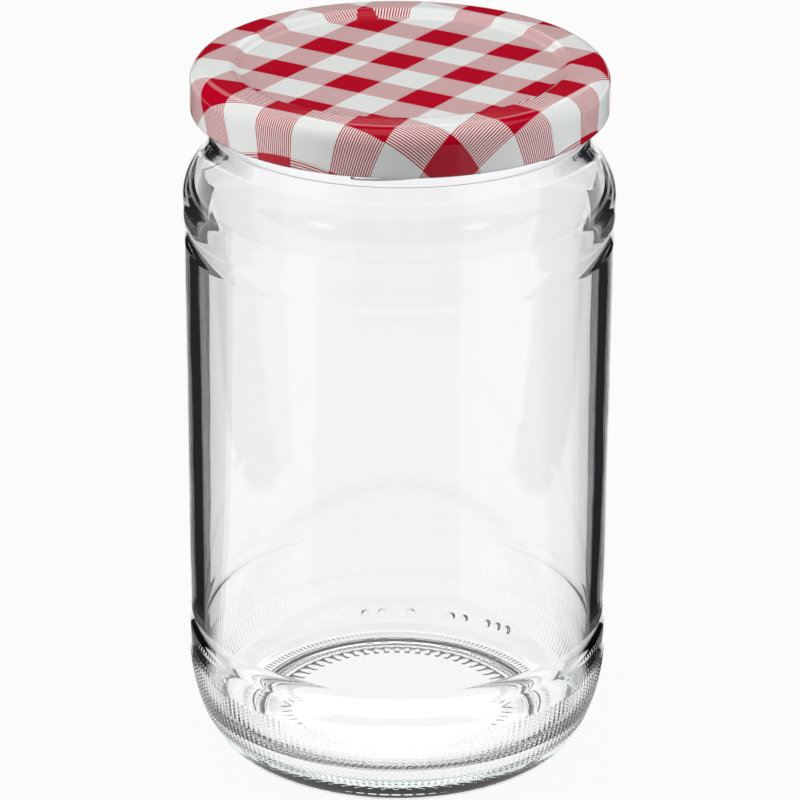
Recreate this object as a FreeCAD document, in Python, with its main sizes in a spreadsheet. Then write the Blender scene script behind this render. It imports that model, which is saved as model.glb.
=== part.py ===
"""Screw-top preserving jar: a clear glass jar, its pressed twist-off lid and the lid's sealing ring.

Every piece is turned about the jar's own axis, Z, which rises from the centre of the base.
Heights near the foot are measured up from the base and those near the mouth down from the rim,
so a taller jar gains its height in the label panel.  Sizes are in millimetres and degrees.
"""
import FreeCAD
import Part
import math
import os
import re
import Sketcher

# Driving dimensions.  Each is written once, here, and every sketch takes its sizes from the sheet.
SIZES = [
    # glass: height, mouth and wall
    ("glass_height", 148.4, "base to the crown of the rim"),
    ("finish_radius", 39.4, "outside of the mouth, under the lid, without its threads"),
    ("rim_thickness", 3.2, "wall of the mouth, rounded over at the rim"),
    ("finish_drop", 11.0, "rim down to the parting step below the lid"),
    ("parting_step", 0.33, "how far the neck steps in below the mouth"),
    ("wall", 2.8, "glass thickness from the shoulder down to the heel"),
    # glass: shoulder and label panel
    ("shoulder_drop", 26.7, "rim down to the widest line of the shoulder"),
    ("shoulder_overhang", 5.38, "how far the shoulder stands out from the neck"),
    ("shoulder_curve", 10.5, "radius of the shoulder's round"),
    ("neck_curve", 7.4, "radius of the hollow between shoulder and neck"),
    ("panel_recess", 0.25, "label panel set in from the shoulder"),
    ("line_height", 4.8, "height of the shallow hollow line round each end of the label panel"),
    ("line_curve", 12.0, "radius of that hollow"),
    ("upper_line_drop", 31.0, "rim down to the top edge of the upper line"),
    ("lower_line_height", 29.4, "base up to the top edge of the lower line"),
    # glass: heel and base
    ("heel_proud", 0.15, "how far the heel stands out from the label panel"),
    ("heel_height", 20.4, "base up to where the heel starts to turn in"),
    ("heel_curve", 37.0, "radius of the heel's long round"),
    ("heel_corner", 6.0, "radius where the heel meets the base"),
    ("bearing_width", 2.2, "width of the flat ring that the jar stands on"),
    ("bearing_lip", 2.5, "radius of the round inside the bearing ring"),
    ("push_up", 3.0, "height of the raised underside"),
    ("push_up_curve", 12.0, "radius that leads into the raised underside"),
    ("floor_thickness", 2.6, "glass between the raised underside and the floor"),
    ("floor_corner", 11.0, "radius inside, between the floor and the heel"),
    # lid
    ("plate", 0.22, "thickness of the lid's sheet"),
    ("lid_height", 9.9, "crest of the lid down to its rolled edge"),
    ("skirt_clearance", 3.08, "mouth to the inside of the skirt, room for the threads"),
    ("skirt_corner", 3.5, "outer radius between the lid's shoulder and its skirt"),
    ("shoulder_fall", 2.0, "slope of the lid's shoulder"),
    ("crest_inset", 1.2, "bore of the mouth in to the lid's crest"),
    ("crest_curve", 2.2, "outer radius of the crest"),
    ("step_curve", 1.6, "outer radius at the foot of the step"),
    ("lid_recess", 1.33, "centre panel below the crest"),
    ("curl_radius", 0.75, "outer radius of the rolled edge"),
    ("curl_turn", 225.0, "how far the edge is rolled"),
    # lugs of the lid
    ("lug_count", 6, "lugs pressed inwards from the rolled edge"),
    ("lug_width", 14.0, "angle that a lug takes up round the lid"),
    ("lug_clearance", 0.5, "mouth to the tip of a lug"),
    ("lug_height", 0.95, "height of a lug"),
    ("lug_lift", 0.2, "foot of a lug above the rolled edge"),
    ("lug_round", 0.3, "radius of the rounds at a lug's tip"),
    # sealing ring
    ("liner_room", 1.43, "rim up to the inside of the lid's crest"),
    ("liner_margin", 0.6, "how far the sealing ring reaches in past the bore"),
    ("liner_wrap", 0.1, "how deep the rim sinks into the sealing ring"),
    ("liner_ease", 0.6, "radius of the hollow it sinks into, more than the rim's own"),
    ("liner_round", 0.2, "radius of the sealing ring's inner lower edge"),
    ("seat_gap", 0.15, "clearance of the sealing ring from rim and lid"),
]

doc = FreeCAD.newDocument("ScrewTopJar")
sheet = doc.addObject("Spreadsheet::Sheet", "Sizes")


def fill_sheet():
    """Gives each driving dimension a row: its name, its value under that alias, its meaning."""
    for row, (name, value, meaning) in enumerate(SIZES, start=1):
        sheet.set(f"A{row}", name)
        sheet.set(f"B{row}", str(value))
        sheet.set(f"C{row}", meaning)
        sheet.setAlias(f"B{row}", name)
    doc.recompute()
    return {name: float(sheet.get(name)) for name, _, _ in SIZES}


size = fill_sheet()


def from_sheet(text):
    """Makes an expression on the sheet from words such as 'glass_height - finish_drop'."""
    return re.sub(r"[a-z]\w*", lambda word: f"<<Sizes>>.{word[0]}" if word[0] in size else word[0], text)


def amount(text):
    """Works the same words out as a number, to draw each outline where its sizes will hold it."""
    total = 0.0
    for sign, term in re.findall(r"([+-]?)\s*([^+-]+)", text):
        factors = [size[word] if word in size else float(word) for word in re.findall(r"[\w.]+", term)]
        total += (-1 if sign == "-" else 1) * math.prod(factors)
    return total


class Outline:
    """A closed outline on a body's upright plane, drawn end to end; x is a radius, y a height."""

    def __init__(self, body, name):
        self.sketch = body.newObject("Sketcher::SketchObject", name)
        upright = next(plane for plane in body.Origin.OriginFeatures if plane.Role == "XZ_Plane")
        self.sketch.AttachmentSupport = [(upright, "")]
        self.sketch.MapMode = "FlatFace"
        self.ends = []

    def line(self, start, end):
        self.sketch.addGeometry(Part.LineSegment(FreeCAD.Vector(*start), FreeCAD.Vector(*end)), False)
        self.ends.append((1, 2))
        return len(self.ends) - 1

    def arc(self, centre, start, end, clockwise=False):
        radius = math.dist(centre, start)
        angles = [math.atan2(y - centre[1], x - centre[0]) for x, y in (start, end)]
        if clockwise:
            angles.reverse()
        circle = Part.Circle(FreeCAD.Vector(*centre), FreeCAD.Vector(0, 0, 1), radius)
        self.sketch.addGeometry(Part.ArcOfCircle(circle, *angles), False)
        self.ends.append((2, 1) if clockwise else (1, 2))
        return len(self.ends) - 1

    def join(self, corners=()):
        """Joins each element to the next: smoothly, or at a corner after the elements named."""
        for here, (_, last) in enumerate(self.ends):
            after = (here + 1) % len(self.ends)
            kind = "Coincident" if here in corners else "Tangent"
            self.sketch.addConstraint(Sketcher.Constraint(kind, here, last, after, self.ends[after][0]))

    def hold(self, kind, *elements):
        """Adds a rule that needs no size, such as Horizontal, Vertical or PointOnObject."""
        self.sketch.addConstraint(Sketcher.Constraint(kind, *elements))

    def set(self, kind, elements, words, unit="1 mm"):
        """Binds a radius, distance or angle to the sheet."""
        value = math.radians(amount(words)) if kind == "Angle" else amount(words)
        number = self.sketch.addConstraint(Sketcher.Constraint(kind, *elements, value))
        self.sketch.setExpression(f"Constraints[{number}]", f"({from_sheet(words)}) * {unit}")

    def guide(self, centre, radius):
        """Adds a construction circle for other elements to touch."""
        circle = Part.Circle(FreeCAD.Vector(*centre), FreeCAD.Vector(0, 0, 1), radius)
        return self.sketch.addGeometry(circle, True)

    def radius(self, element, words):
        self.set("Radius", (element,), words)

    def reach(self, element, point, words):
        """Sets how far a point lies from the jar's axis."""
        self.set("DistanceX", (-1, 1, element, point), words)

    def height(self, element, point, words):
        """Sets how high a point lies above the base."""
        self.set("DistanceY", (-1, 1, element, point), words)


def touching_point(centre, radius, other):
    """Where a circle meets a round that it touches: on the line from its centre to the other."""
    reach = math.dist(centre, other)
    return tuple(c + radius * (o - c) / reach for c, o in zip(centre, other))


def tilted_point(centre, radius, fall):
    """Where a round passes into a line that falls outwards at this angle."""
    return centre[0] + radius * math.sin(fall), centre[1] + radius * math.cos(fall)


def hollow_centre(low, high):
    """Centre of a shallow hollow line that runs up the glass between two points."""
    chord = math.dist(low, high)
    stand_off = math.sqrt(size["line_curve"] ** 2 - chord ** 2 / 4)
    return ((low[0] + high[0]) / 2 + stand_off * (high[1] - low[1]) / chord,
            (low[1] + high[1]) / 2 - stand_off * (high[0] - low[0]) / chord)


def new_body(name, label):
    body = doc.addObject("PartDesign::Body", name)
    body.Label = label
    return body


def turned(body, outline, name):
    """Turns an outline all the way round the jar's axis."""
    solid = body.newObject("PartDesign::Revolution", name)
    solid.Profile = outline.sketch
    solid.ReferenceAxis = (outline.sketch, ["V_Axis"])
    solid.Angle = 360
    return solid


FIRST, LAST, CENTRE = 1, 2, 3
BASE, AXIS = -1, -2

# Places that several pieces line up with, in the sheet's words.
BORE = "finish_radius - rim_thickness"
NECK = "finish_radius - parting_step"
SHOULDER = f"{NECK} + shoulder_overhang"
PANEL = f"{SHOULDER} - panel_recess"
HEEL = f"{PANEL} + heel_proud"
CREST = f"{BORE} - crest_inset"
SKIRT = "finish_radius + skirt_clearance + plate"
LID_TOP = "glass_height + liner_room + plate"
LID_FOOT = f"{LID_TOP} - lid_height"


def build_glass():
    """The glass: one wall from the raised underside round to the rim and back to the floor."""
    body = new_body("GlassJar", "glass_jar")
    draw = Outline(body, "GlassOutline")
    bore, neck, shoulder, panel, heel = (amount(words) for words in (BORE, NECK, SHOULDER, PANEL, HEEL))
    inner = panel - size["wall"]
    mouth, top = size["finish_radius"], size["glass_height"]
    underside, floor = size["push_up"], size["push_up"] + size["floor_thickness"]

    # Centres of the rounds, from the base up to the rim.
    heel_at = (heel - size["heel_curve"], size["heel_height"])
    reach = size["heel_curve"] - size["heel_corner"]
    rise = size["heel_corner"]
    corner_at = (heel_at[0] + math.sqrt(reach ** 2 - (heel_at[1] - rise) ** 2), rise)
    lip_at = (corner_at[0] - size["bearing_width"], size["bearing_lip"])
    reach = size["bearing_lip"] + size["push_up_curve"]
    rise = underside - size["push_up_curve"]
    lead_at = (lip_at[0] - math.sqrt(reach ** 2 - (lip_at[1] - rise) ** 2), rise)
    rise = floor + size["floor_corner"]
    reach = inner - heel_at[0] - size["floor_corner"]
    floor_at = (heel_at[0] + math.sqrt(reach ** 2 - (heel_at[1] - rise) ** 2), rise)
    shoulder_at = (shoulder - size["shoulder_curve"], top - size["shoulder_drop"])
    across = neck + size["neck_curve"] - shoulder_at[0]
    reach = size["shoulder_curve"] + size["neck_curve"]
    neck_at = (neck + size["neck_curve"], shoulder_at[1] + math.sqrt(reach ** 2 - across ** 2))
    inner_round = size["shoulder_curve"] - size["wall"]
    across = neck_at[0] - inner + inner_round
    reach = neck_at[0] - bore + inner_round
    inner_at = (inner - inner_round, neck_at[1] - math.sqrt(reach ** 2 - across ** 2))
    crown_at = (mouth - size["rim_thickness"] / 2, top - size["rim_thickness"] / 2)

    # Ends of the straight bands outside.
    lower_foot = (heel, size["lower_line_height"] - size["line_height"])
    lower_head = (panel, size["lower_line_height"])
    upper_head = (shoulder, top - size["upper_line_drop"])
    upper_foot = (panel, upper_head[1] - size["line_height"])
    step_head = (mouth, top - size["finish_drop"])
    step_foot = (neck, step_head[1] - size["parting_step"])

    # Outside: underside, bearing ring, heel, label panel between its two lines, shoulder, mouth.
    raised = draw.line((0, underside), (lead_at[0], underside))
    meet = touching_point(lip_at, size["bearing_lip"], lead_at)
    lead_in = draw.arc(lead_at, (lead_at[0], underside), meet, clockwise=True)
    lip = draw.arc(lip_at, meet, (lip_at[0], 0))
    bearing = draw.line((lip_at[0], 0), (corner_at[0], 0))
    meet = touching_point(heel_at, size["heel_curve"], corner_at)
    heel_corner = draw.arc(corner_at, (corner_at[0], 0), meet)
    heel_round = draw.arc(heel_at, meet, (heel, heel_at[1]))
    heel_band = draw.line((heel, heel_at[1]), lower_foot)
    lower_line = draw.arc(hollow_centre(lower_foot, lower_head), lower_foot, lower_head, clockwise=True)
    label_panel = draw.line(lower_head, upper_foot)
    upper_line = draw.arc(hollow_centre(upper_foot, upper_head), upper_foot, upper_head, clockwise=True)
    shoulder_band = draw.line(upper_head, (shoulder, shoulder_at[1]))
    meet = touching_point(shoulder_at, size["shoulder_curve"], neck_at)
    shoulder_round = draw.arc(shoulder_at, (shoulder, shoulder_at[1]), meet)
    neck_round = draw.arc(neck_at, meet, (neck, neck_at[1]), clockwise=True)
    neck_band = draw.line((neck, neck_at[1]), step_foot)
    parting = draw.line(step_foot, step_head)
    mouth_band = draw.line(step_head, (mouth, crown_at[1]))
    rim = draw.arc(crown_at, (mouth, crown_at[1]), (bore, crown_at[1]))

    # Inside: bore, neck, shoulder, wall, heel and floor.
    bore_band = draw.line((bore, crown_at[1]), (bore, neck_at[1]))
    meet = touching_point(neck_at, neck_at[0] - bore, inner_at)
    inner_neck = draw.arc(neck_at, (bore, neck_at[1]), meet)
    inner_shoulder = draw.arc(inner_at, meet, (inner, inner_at[1]), clockwise=True)
    inner_wall = draw.line((inner, inner_at[1]), (inner, heel_at[1]))
    meet = touching_point(heel_at, inner - heel_at[0], floor_at)
    inner_heel = draw.arc(heel_at, (inner, heel_at[1]), meet, clockwise=True)
    floor_round = draw.arc(floor_at, meet, (floor_at[0], floor), clockwise=True)
    floor_line = draw.line((floor_at[0], floor), (0, floor))
    middle = draw.line((0, floor), (0, underside))

    ends_of_bands = (heel_band, lower_line, label_panel, upper_line, neck_band, parting)
    draw.join(corners=ends_of_bands + (floor_line, middle))
    for element in (raised, bearing, floor_line):
        draw.hold("Horizontal", element)
    for element in (heel_band, label_panel, shoulder_band, neck_band, mouth_band, bore_band, inner_wall):
        draw.hold("Vertical", element)
    draw.hold("PointOnObject", middle, FIRST, AXIS)
    draw.hold("PointOnObject", middle, LAST, AXIS)
    draw.hold("Coincident", neck_round, CENTRE, inner_neck, CENTRE)
    draw.hold("Coincident", heel_round, CENTRE, inner_heel, CENTRE)

    draw.height(raised, FIRST, "push_up")
    draw.hold("PointOnObject", bearing, FIRST, BASE)
    draw.set("DistanceX", (bearing, FIRST, bearing, LAST), "bearing_width")
    draw.height(floor_line, LAST, "push_up + floor_thickness")
    draw.height(heel_round, CENTRE, "heel_height")
    draw.height(label_panel, FIRST, "lower_line_height")
    draw.height(heel_band, LAST, "lower_line_height - line_height")
    draw.height(shoulder_band, FIRST, "glass_height - upper_line_drop")
    draw.height(label_panel, LAST, "glass_height - upper_line_drop - line_height")
    draw.height(shoulder_round, CENTRE, "glass_height - shoulder_drop")
    draw.height(mouth_band, FIRST, "glass_height - finish_drop")
    draw.height(neck_band, LAST, "glass_height - finish_drop - parting_step")
    draw.height(rim, CENTRE, "glass_height - rim_thickness * 0.5")
    draw.reach(heel_band, FIRST, HEEL)
    draw.reach(label_panel, FIRST, PANEL)
    draw.reach(shoulder_band, FIRST, SHOULDER)
    draw.reach(neck_band, FIRST, NECK)
    draw.reach(mouth_band, FIRST, "finish_radius")
    draw.reach(bore_band, FIRST, BORE)
    draw.reach(inner_wall, FIRST, f"{PANEL} - wall")
    rounds = {
        lead_in: "push_up_curve", lip: "bearing_lip", heel_corner: "heel_corner", heel_round: "heel_curve",
        lower_line: "line_curve", upper_line: "line_curve", shoulder_round: "shoulder_curve",
        neck_round: "neck_curve", inner_shoulder: "shoulder_curve - wall", floor_round: "floor_corner",
    }
    for element, words in rounds.items():
        draw.radius(element, words)
    turned(body, draw, "GlassWall")
    return body


def build_lid():
    """The lid: one sheet pressed into panel, step, crest, shoulder and skirt, its edge rolled in."""
    body = new_body("Lid", "lid")
    draw = Outline(body, "LidSection")
    plate, fall = size["plate"], math.radians(size["shoulder_fall"])
    skirt, foot = amount(SKIRT), amount(LID_FOOT)
    panel = amount(LID_TOP) - size["lid_recess"]

    # Centres of the rounds, from the middle outwards and down.
    crest_at = (amount(CREST), amount(LID_TOP) - size["crest_curve"])
    reach = size["crest_curve"] + size["step_curve"]
    rise = panel + size["step_curve"]
    step_at = (crest_at[0] - math.sqrt(reach ** 2 - (rise - crest_at[1]) ** 2), rise)
    run = skirt - size["skirt_corner"] - crest_at[0]
    drop = (size["skirt_corner"] - size["crest_curve"]) / math.cos(fall) + run * math.tan(fall)
    corner_at = (crest_at[0] + run, crest_at[1] - drop)
    curl_at = (skirt - size["curl_radius"], foot + size["curl_radius"])
    curl_end = -math.radians(size["curl_turn"])

    def section(offset):
        """Points of the sheet's face at this depth below its outer face, from the middle outwards."""
        step, crest = size["step_curve"] + offset, size["crest_curve"] - offset
        corner, curl = size["skirt_corner"] - offset, size["curl_radius"] - offset
        return [(0, panel - offset), (step_at[0], panel - offset), touching_point(step_at, step, crest_at),
                tilted_point(crest_at, crest, fall), tilted_point(corner_at, corner, fall),
                (skirt - offset, corner_at[1]), (skirt - offset, curl_at[1]),
                (curl_at[0] + curl * math.cos(curl_end), curl_at[1] + curl * math.sin(curl_end))]

    # Outer face, from the middle to the end of the rolled edge.
    outer = section(0)
    top = draw.line(outer[0], outer[1])
    step = draw.arc(step_at, outer[1], outer[2])
    crest = draw.arc(crest_at, outer[2], outer[3], clockwise=True)
    shoulder = draw.line(outer[3], outer[4])
    corner = draw.arc(corner_at, outer[4], outer[5], clockwise=True)
    side = draw.line(outer[5], outer[6])
    curl = draw.arc(curl_at, outer[6], outer[7], clockwise=True)

    # Inner face, back to the middle.
    inner = section(plate)
    edge = draw.line(outer[7], inner[7])
    inner_curl = draw.arc(curl_at, inner[7], inner[6])
    inner_side = draw.line(inner[6], inner[5])
    inner_corner = draw.arc(corner_at, inner[5], inner[4])
    inner_shoulder = draw.line(inner[4], inner[3])
    inner_crest = draw.arc(crest_at, inner[3], inner[2])
    inner_step = draw.arc(step_at, inner[2], inner[1], clockwise=True)
    inner_top = draw.line(inner[1], inner[0])
    middle = draw.line(inner[0], outer[0])

    draw.join(corners=(curl, edge, inner_top, middle))
    for element in (top, inner_top):
        draw.hold("Horizontal", element)
    for element in (side, inner_side):
        draw.hold("Vertical", element)
    draw.hold("PointOnObject", middle, FIRST, AXIS)
    draw.hold("PointOnObject", middle, LAST, AXIS)
    draw.hold("PointOnObject", curl, CENTRE, edge)
    for face, back in ((step, inner_step), (crest, inner_crest), (corner, inner_corner), (curl, inner_curl)):
        draw.hold("Coincident", face, CENTRE, back, CENTRE)

    draw.height(top, FIRST, f"{LID_TOP} - lid_recess")
    draw.height(crest, CENTRE, f"{LID_TOP} - crest_curve")
    draw.reach(crest, CENTRE, CREST)
    draw.reach(side, FIRST, SKIRT)
    draw.height(curl, CENTRE, f"{LID_FOOT} + curl_radius")
    draw.set("Angle", (shoulder,), "0 - shoulder_fall", unit="1 deg")
    draw.set("Angle", (curl,), "curl_turn", unit="1 deg")
    rounds = {
        step: "step_curve", crest: "crest_curve", corner: "skirt_corner", curl: "curl_radius",
        inner_curl: "curl_radius - plate", inner_crest: "crest_curve - plate",
    }
    for element, words in rounds.items():
        draw.radius(element, words)
    turned(body, draw, "PressedSheet")
    add_lugs(body, curl_at)
    return body


def add_lugs(body, curl_at):
    """Lugs: stretches of the rolled edge pressed inwards, evenly spaced, to catch the threads."""
    draw = Outline(body, "LugSection")
    tip = size["finish_radius"] + size["lug_clearance"]
    foot = amount(LID_FOOT) + size["lug_lift"]
    head, bend = foot + size["lug_height"], size["lug_round"]
    below = draw.line((curl_at[0], foot), (tip + bend, foot))
    low_round = draw.arc((tip + bend, foot + bend), (tip + bend, foot), (tip, foot + bend), clockwise=True)
    face = draw.line((tip, foot + bend), (tip, head - bend))
    high_round = draw.arc((tip + bend, head - bend), (tip, head - bend), (tip + bend, head), clockwise=True)
    above = draw.line((tip + bend, head), (curl_at[0], head))
    root = draw.line((curl_at[0], head), (curl_at[0], foot))
    draw.join(corners=(above, root))
    for element in (below, above):
        draw.hold("Horizontal", element)
    for element in (face, root):
        draw.hold("Vertical", element)
    draw.reach(face, FIRST, "finish_radius + lug_clearance")
    draw.reach(root, FIRST, f"{SKIRT} - curl_radius")
    draw.height(root, LAST, f"{LID_FOOT} + lug_lift")
    draw.height(root, FIRST, f"{LID_FOOT} + lug_lift + lug_height")
    draw.radius(low_round, "lug_round")
    draw.radius(high_round, "lug_round")

    lug = turned(body, draw, "Lug")
    lug.Midplane = True
    lug.setExpression("Angle", f"{from_sheet('lug_width')} * 1 deg")
    doc.recompute()
    ring = body.newObject("PartDesign::PolarPattern", "LugRing")
    ring.Originals = [lug]
    ring.Axis = (draw.sketch, ["V_Axis"])
    ring.Angle = 360
    ring.setExpression("Occurrences", from_sheet("lug_count"))
    body.Tip = ring


def build_liner():
    """The sealing ring: it fills the corner under the lid's shoulder, and the rim sinks into it."""
    body = new_body("SealingRing", "sealing_ring")
    draw = Outline(body, "LinerSection")
    fall, bend = math.radians(size["shoulder_fall"]), size["liner_round"]
    inner, low = amount(BORE) - size["liner_margin"], size["glass_height"] - size["liner_wrap"]
    seat = size["rim_thickness"] / 2 + size["liner_ease"]
    seat_at = (size["finish_radius"] - size["rim_thickness"] / 2, size["glass_height"] + size["seat_gap"] - seat)
    half_seat = math.sqrt(seat ** 2 - (low - seat_at[1]) ** 2)
    hollow_in, hollow_out = (seat_at[0] - half_seat, low), (seat_at[0] + half_seat, low)

    # The upper face follows the inside of the lid: under its shoulder, then round into the skirt.
    crest_at = (amount(CREST), amount(LID_TOP) - size["crest_curve"])
    under_crest = size["crest_curve"] - size["plate"] - size["seat_gap"]
    in_corner = size["skirt_corner"] - size["plate"] - size["seat_gap"]
    start = tilted_point(crest_at, under_crest, fall)
    top = (inner, start[1] - (inner - start[0]) * math.tan(fall))
    across = amount(SKIRT) - size["skirt_corner"]
    drop = (in_corner - under_crest) / math.cos(fall) + (across - crest_at[0]) * math.tan(fall)
    corner_at = (across, crest_at[1] - drop)
    tip = (across + math.sqrt(in_corner ** 2 - (low - corner_at[1]) ** 2), low)
    meet = tilted_point(corner_at, in_corner, fall)

    inner_foot = draw.line((inner + bend, low), hollow_in)
    seat_round = draw.arc(seat_at, hollow_in, hollow_out, clockwise=True)
    outer_foot = draw.line(hollow_out, tip)
    corner = draw.arc(corner_at, tip, meet)
    upper = draw.line(meet, top)
    inner_side = draw.line(top, (inner, low + bend))
    inner_bend = draw.arc((inner + bend, low + bend), (inner, low + bend), (inner + bend, low))
    lid_inside = draw.guide(crest_at, under_crest)

    draw.join(corners=(inner_foot, seat_round, outer_foot, upper))
    for element in (inner_foot, outer_foot):
        draw.hold("Horizontal", element)
    draw.hold("Vertical", inner_side)
    draw.hold("Tangent", upper, lid_inside)
    draw.reach(lid_inside, CENTRE, CREST)
    draw.height(lid_inside, CENTRE, f"{LID_TOP} - crest_curve")
    draw.set("Angle", (upper,), "180 - shoulder_fall", unit="1 deg")
    draw.reach(corner, CENTRE, f"{SKIRT} - skirt_corner")
    draw.reach(seat_round, CENTRE, "finish_radius - rim_thickness * 0.5")
    draw.height(seat_round, CENTRE, "glass_height + seat_gap - rim_thickness * 0.5 - liner_ease")
    draw.height(inner_foot, FIRST, "glass_height - liner_wrap")
    draw.height(outer_foot, FIRST, "glass_height - liner_wrap")
    draw.reach(inner_side, FIRST, f"{BORE} - liner_margin")
    rounds = {
        seat_round: "rim_thickness * 0.5 + liner_ease", corner: "skirt_corner - plate - seat_gap",
        lid_inside: "crest_curve - plate - seat_gap", inner_bend: "liner_round",
    }
    for element, words in rounds.items():
        draw.radius(element, words)
    turned(body, draw, "MouldedRing")
    return body


def check_document(pieces):
    """Stops with a plain message if any object failed or any piece has no valid solid."""
    for item in doc.Objects:
        faults = [state for state in item.State if state in ("Invalid", "Error")]
        if faults:
            raise RuntimeError(f"{item.Name} is {', '.join(faults)}")
        if item.TypeId == "Sketcher::SketchObject" and not item.FullyConstrained:
            raise RuntimeError(f"{item.Name} is not fully constrained")
    for piece in pieces:
        if piece.Shape.isNull() or not piece.Shape.isValid() or len(piece.Shape.Solids) != 1:
            raise RuntimeError(f"{piece.Label} is not one valid solid")


pieces = [build_glass(), build_lid(), build_liner()]
doc.recompute()
check_document(pieces)
os.makedirs("parts", exist_ok=True)
for piece in pieces:
    piece.Shape.exportStep(f"parts/{piece.Label}.step")
    box = piece.Shape.BoundBox
    print(f"{piece.Label}: {piece.Shape.Volume / 1000:.1f} cm3, up to {box.ZMax:.2f} mm high")
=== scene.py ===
"""Screw-top preserving jar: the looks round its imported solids.

The glass, the pressed lid and the sealing ring are turned pieces round the Z axis.  Sizes of the
jar are written in millimetres and become metres where a mesh is made; the studio is in metres.
Angles round the jar start at the front (-Y) and grow towards the right (+X).
"""
import math

import bmesh
import bpy
from mathutils import Matrix, Vector


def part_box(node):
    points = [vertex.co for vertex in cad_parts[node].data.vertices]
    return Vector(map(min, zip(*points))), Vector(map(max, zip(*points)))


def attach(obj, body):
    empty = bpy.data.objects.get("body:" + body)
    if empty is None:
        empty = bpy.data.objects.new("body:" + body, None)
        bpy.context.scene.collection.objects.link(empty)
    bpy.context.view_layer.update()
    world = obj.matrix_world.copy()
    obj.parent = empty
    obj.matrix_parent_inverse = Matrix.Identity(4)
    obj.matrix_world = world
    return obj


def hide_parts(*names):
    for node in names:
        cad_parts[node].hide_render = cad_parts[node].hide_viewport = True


MM = 0.001
SAME = 1e-5  # points of an outline that lie nearer than this are one
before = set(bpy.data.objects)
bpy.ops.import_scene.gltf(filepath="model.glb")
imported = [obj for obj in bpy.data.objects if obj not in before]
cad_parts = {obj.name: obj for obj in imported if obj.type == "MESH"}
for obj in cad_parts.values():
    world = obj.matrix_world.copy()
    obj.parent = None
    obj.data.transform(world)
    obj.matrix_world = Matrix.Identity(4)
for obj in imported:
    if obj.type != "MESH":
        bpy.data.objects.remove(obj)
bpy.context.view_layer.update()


def node_size(name):
    """Largest radius, foot and top of a turned CAD node, in millimetres."""
    low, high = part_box(name)
    return high.x / MM, low.z / MM, high.z / MM


GLASS_RADIUS, _, GLASS_TOP = node_size("glass_jar")
LID_RADIUS, LID_FOOT, LID_TOP = node_size("lid")

# Glass, from the rim down and from the axis out.
MOUTH = 39.4
RIM_WALL = 3.2
NECK = 39.07
BORE = MOUTH - RIM_WALL
PANEL = GLASS_RADIUS - 0.25
HEEL = GLASS_RADIUS - 0.10
WALL = 2.8
INNER = PANEL - WALL
LEDGE_DROP = 11.0
SHOULDER_DROP, SHOULDER_CURVE, NECK_CURVE = 26.7, 10.5, 7.4
LINE_TALL, LINE_CURVE, LINE_MARGIN = 4.8, 12.0, 1.0
UPPER_LINE_DROP, LOWER_LINE_HEIGHT = 31.0, 29.4
HEEL_HEIGHT, HEEL_CURVE, HEEL_CORNER = 20.4, 37.0, 6.0
BEARING_WIDTH, BEARING_LIP = 2.2, 2.5
PUSH_UP, PUSH_UP_CURVE = 3.0, 12.0
FLOOR_HEIGHT, FLOOR_CURVE = 5.6, 11.0
DISC = 8.0  # the plain middle of the underside and of the floor

# Low relief moulded into the glass, and the points round the jar that carry it.
FINE_COLUMNS, TOOTH_COLUMNS, PLAIN_COLUMNS = 768, 384, 192
DOTS_AROUND, DOT_ROWS, DOT_ROW_TALL, DOT_TOP, DOT_RISE = 192, 15, 0.86, 18.8, 0.19
DOT_LEVELS = 3  # rings of points for each row of dots
KNURL_BARS, KNURL_RISE, KNURL_LAND = 192, 0.09, 0.2
TEETH, TOOTH_RISE, TEETH_INNER, TEETH_OUTER, TEETH_LEAD = 64, 0.2, 22.9, 24.9, 0.4
MARK_ANGLES = (141, 145, 149, 157.5, 162, 175.5, 185, 190.5)
MARK_HEIGHT, MARK_RADIUS, MARK_RISE = 4.6, 1.6, 0.8

# Threads on the mouth.
THREADS, THREAD_WIDTH, THREAD_FIRST, THREAD_FALL = 6, 44.0, 8.0, 3.0
THREAD_PROUD, THREAD_TALL, THREAD_HEAD, THREAD_SUNK = 1.35, 2.2, 142.0, 0.15
THREAD_END = 0.35  # height of a thread at its very ends, as a share of its full height
THREAD_SIDES, THREAD_STEPS = 8, 40

# Lid.
PLATE = 0.22
CREST, CREST_CURVE = 35.0, 2.2
STEP_CURVE, LID_RECESS = 1.6, 1.33
SHOULDER_FALL = math.radians(2.0)
SKIRT_CORNER = 3.5
CURL, CURL_TURN = 0.75, math.radians(225.0)
LID_DISC = 4.0
LID_COLUMNS = 384

# Lugs on the lid's rolled edge.
LUGS, LUG_WIDTH, LUG_FIRST, LUG_STEPS = 6, 12.0, 30.0, 28
LUG_TIP = MOUTH + 0.5
LUG_FOOT, LUG_HEAD, LUG_ROUND, LUG_SUNK = 0.22, 1.15, 0.3, 0.1
LUG_ROUND_TURNS = (0, 0.4, 0.8, 1.2, math.pi / 2)
LUG_RAMPS = 4  # each end of a lug rises over this part of its length: a quarter

# How far apart the points of each stretch of an outline lie.
GLASS_STEPS = {
    "underside": 6.0, "teeth": 0.5, "lead": 1.0, "lip": 0.5, "foot": 0.75, "corner": 0.5, "heel": 0.45,
    "heel_head": 0.6, "band": 2.0, "line": 0.35, "line_margin": 0.4, "panel": 12.0, "shoulder": 0.6,
    "neck": 1.0, "ledge": 0.15, "mouth": 1.2, "rim": 0.4, "bore": 2.5, "inner_neck": 0.7,
    "inner_shoulder": 0.9, "inner_wall": 6.0, "inner_heel": 0.8, "floor": 5.0}
LID_STEPS = {
    "panel": 3.0, "step": 0.2, "crest": 0.25, "shoulder": 0.7, "corner": 0.3, "skirt": 0.8, "curl": 0.2}

# Check print on the lid, laid out on the flat sheet.
CHECK_TURN = math.radians(-31.96)
CHECK_PITCH = 8.609
CHECK_PLACE = (-6.885, -1.115)
STRIPE_SHARES = (0.989, 0.961)
PINSTRIPES = 18
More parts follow.
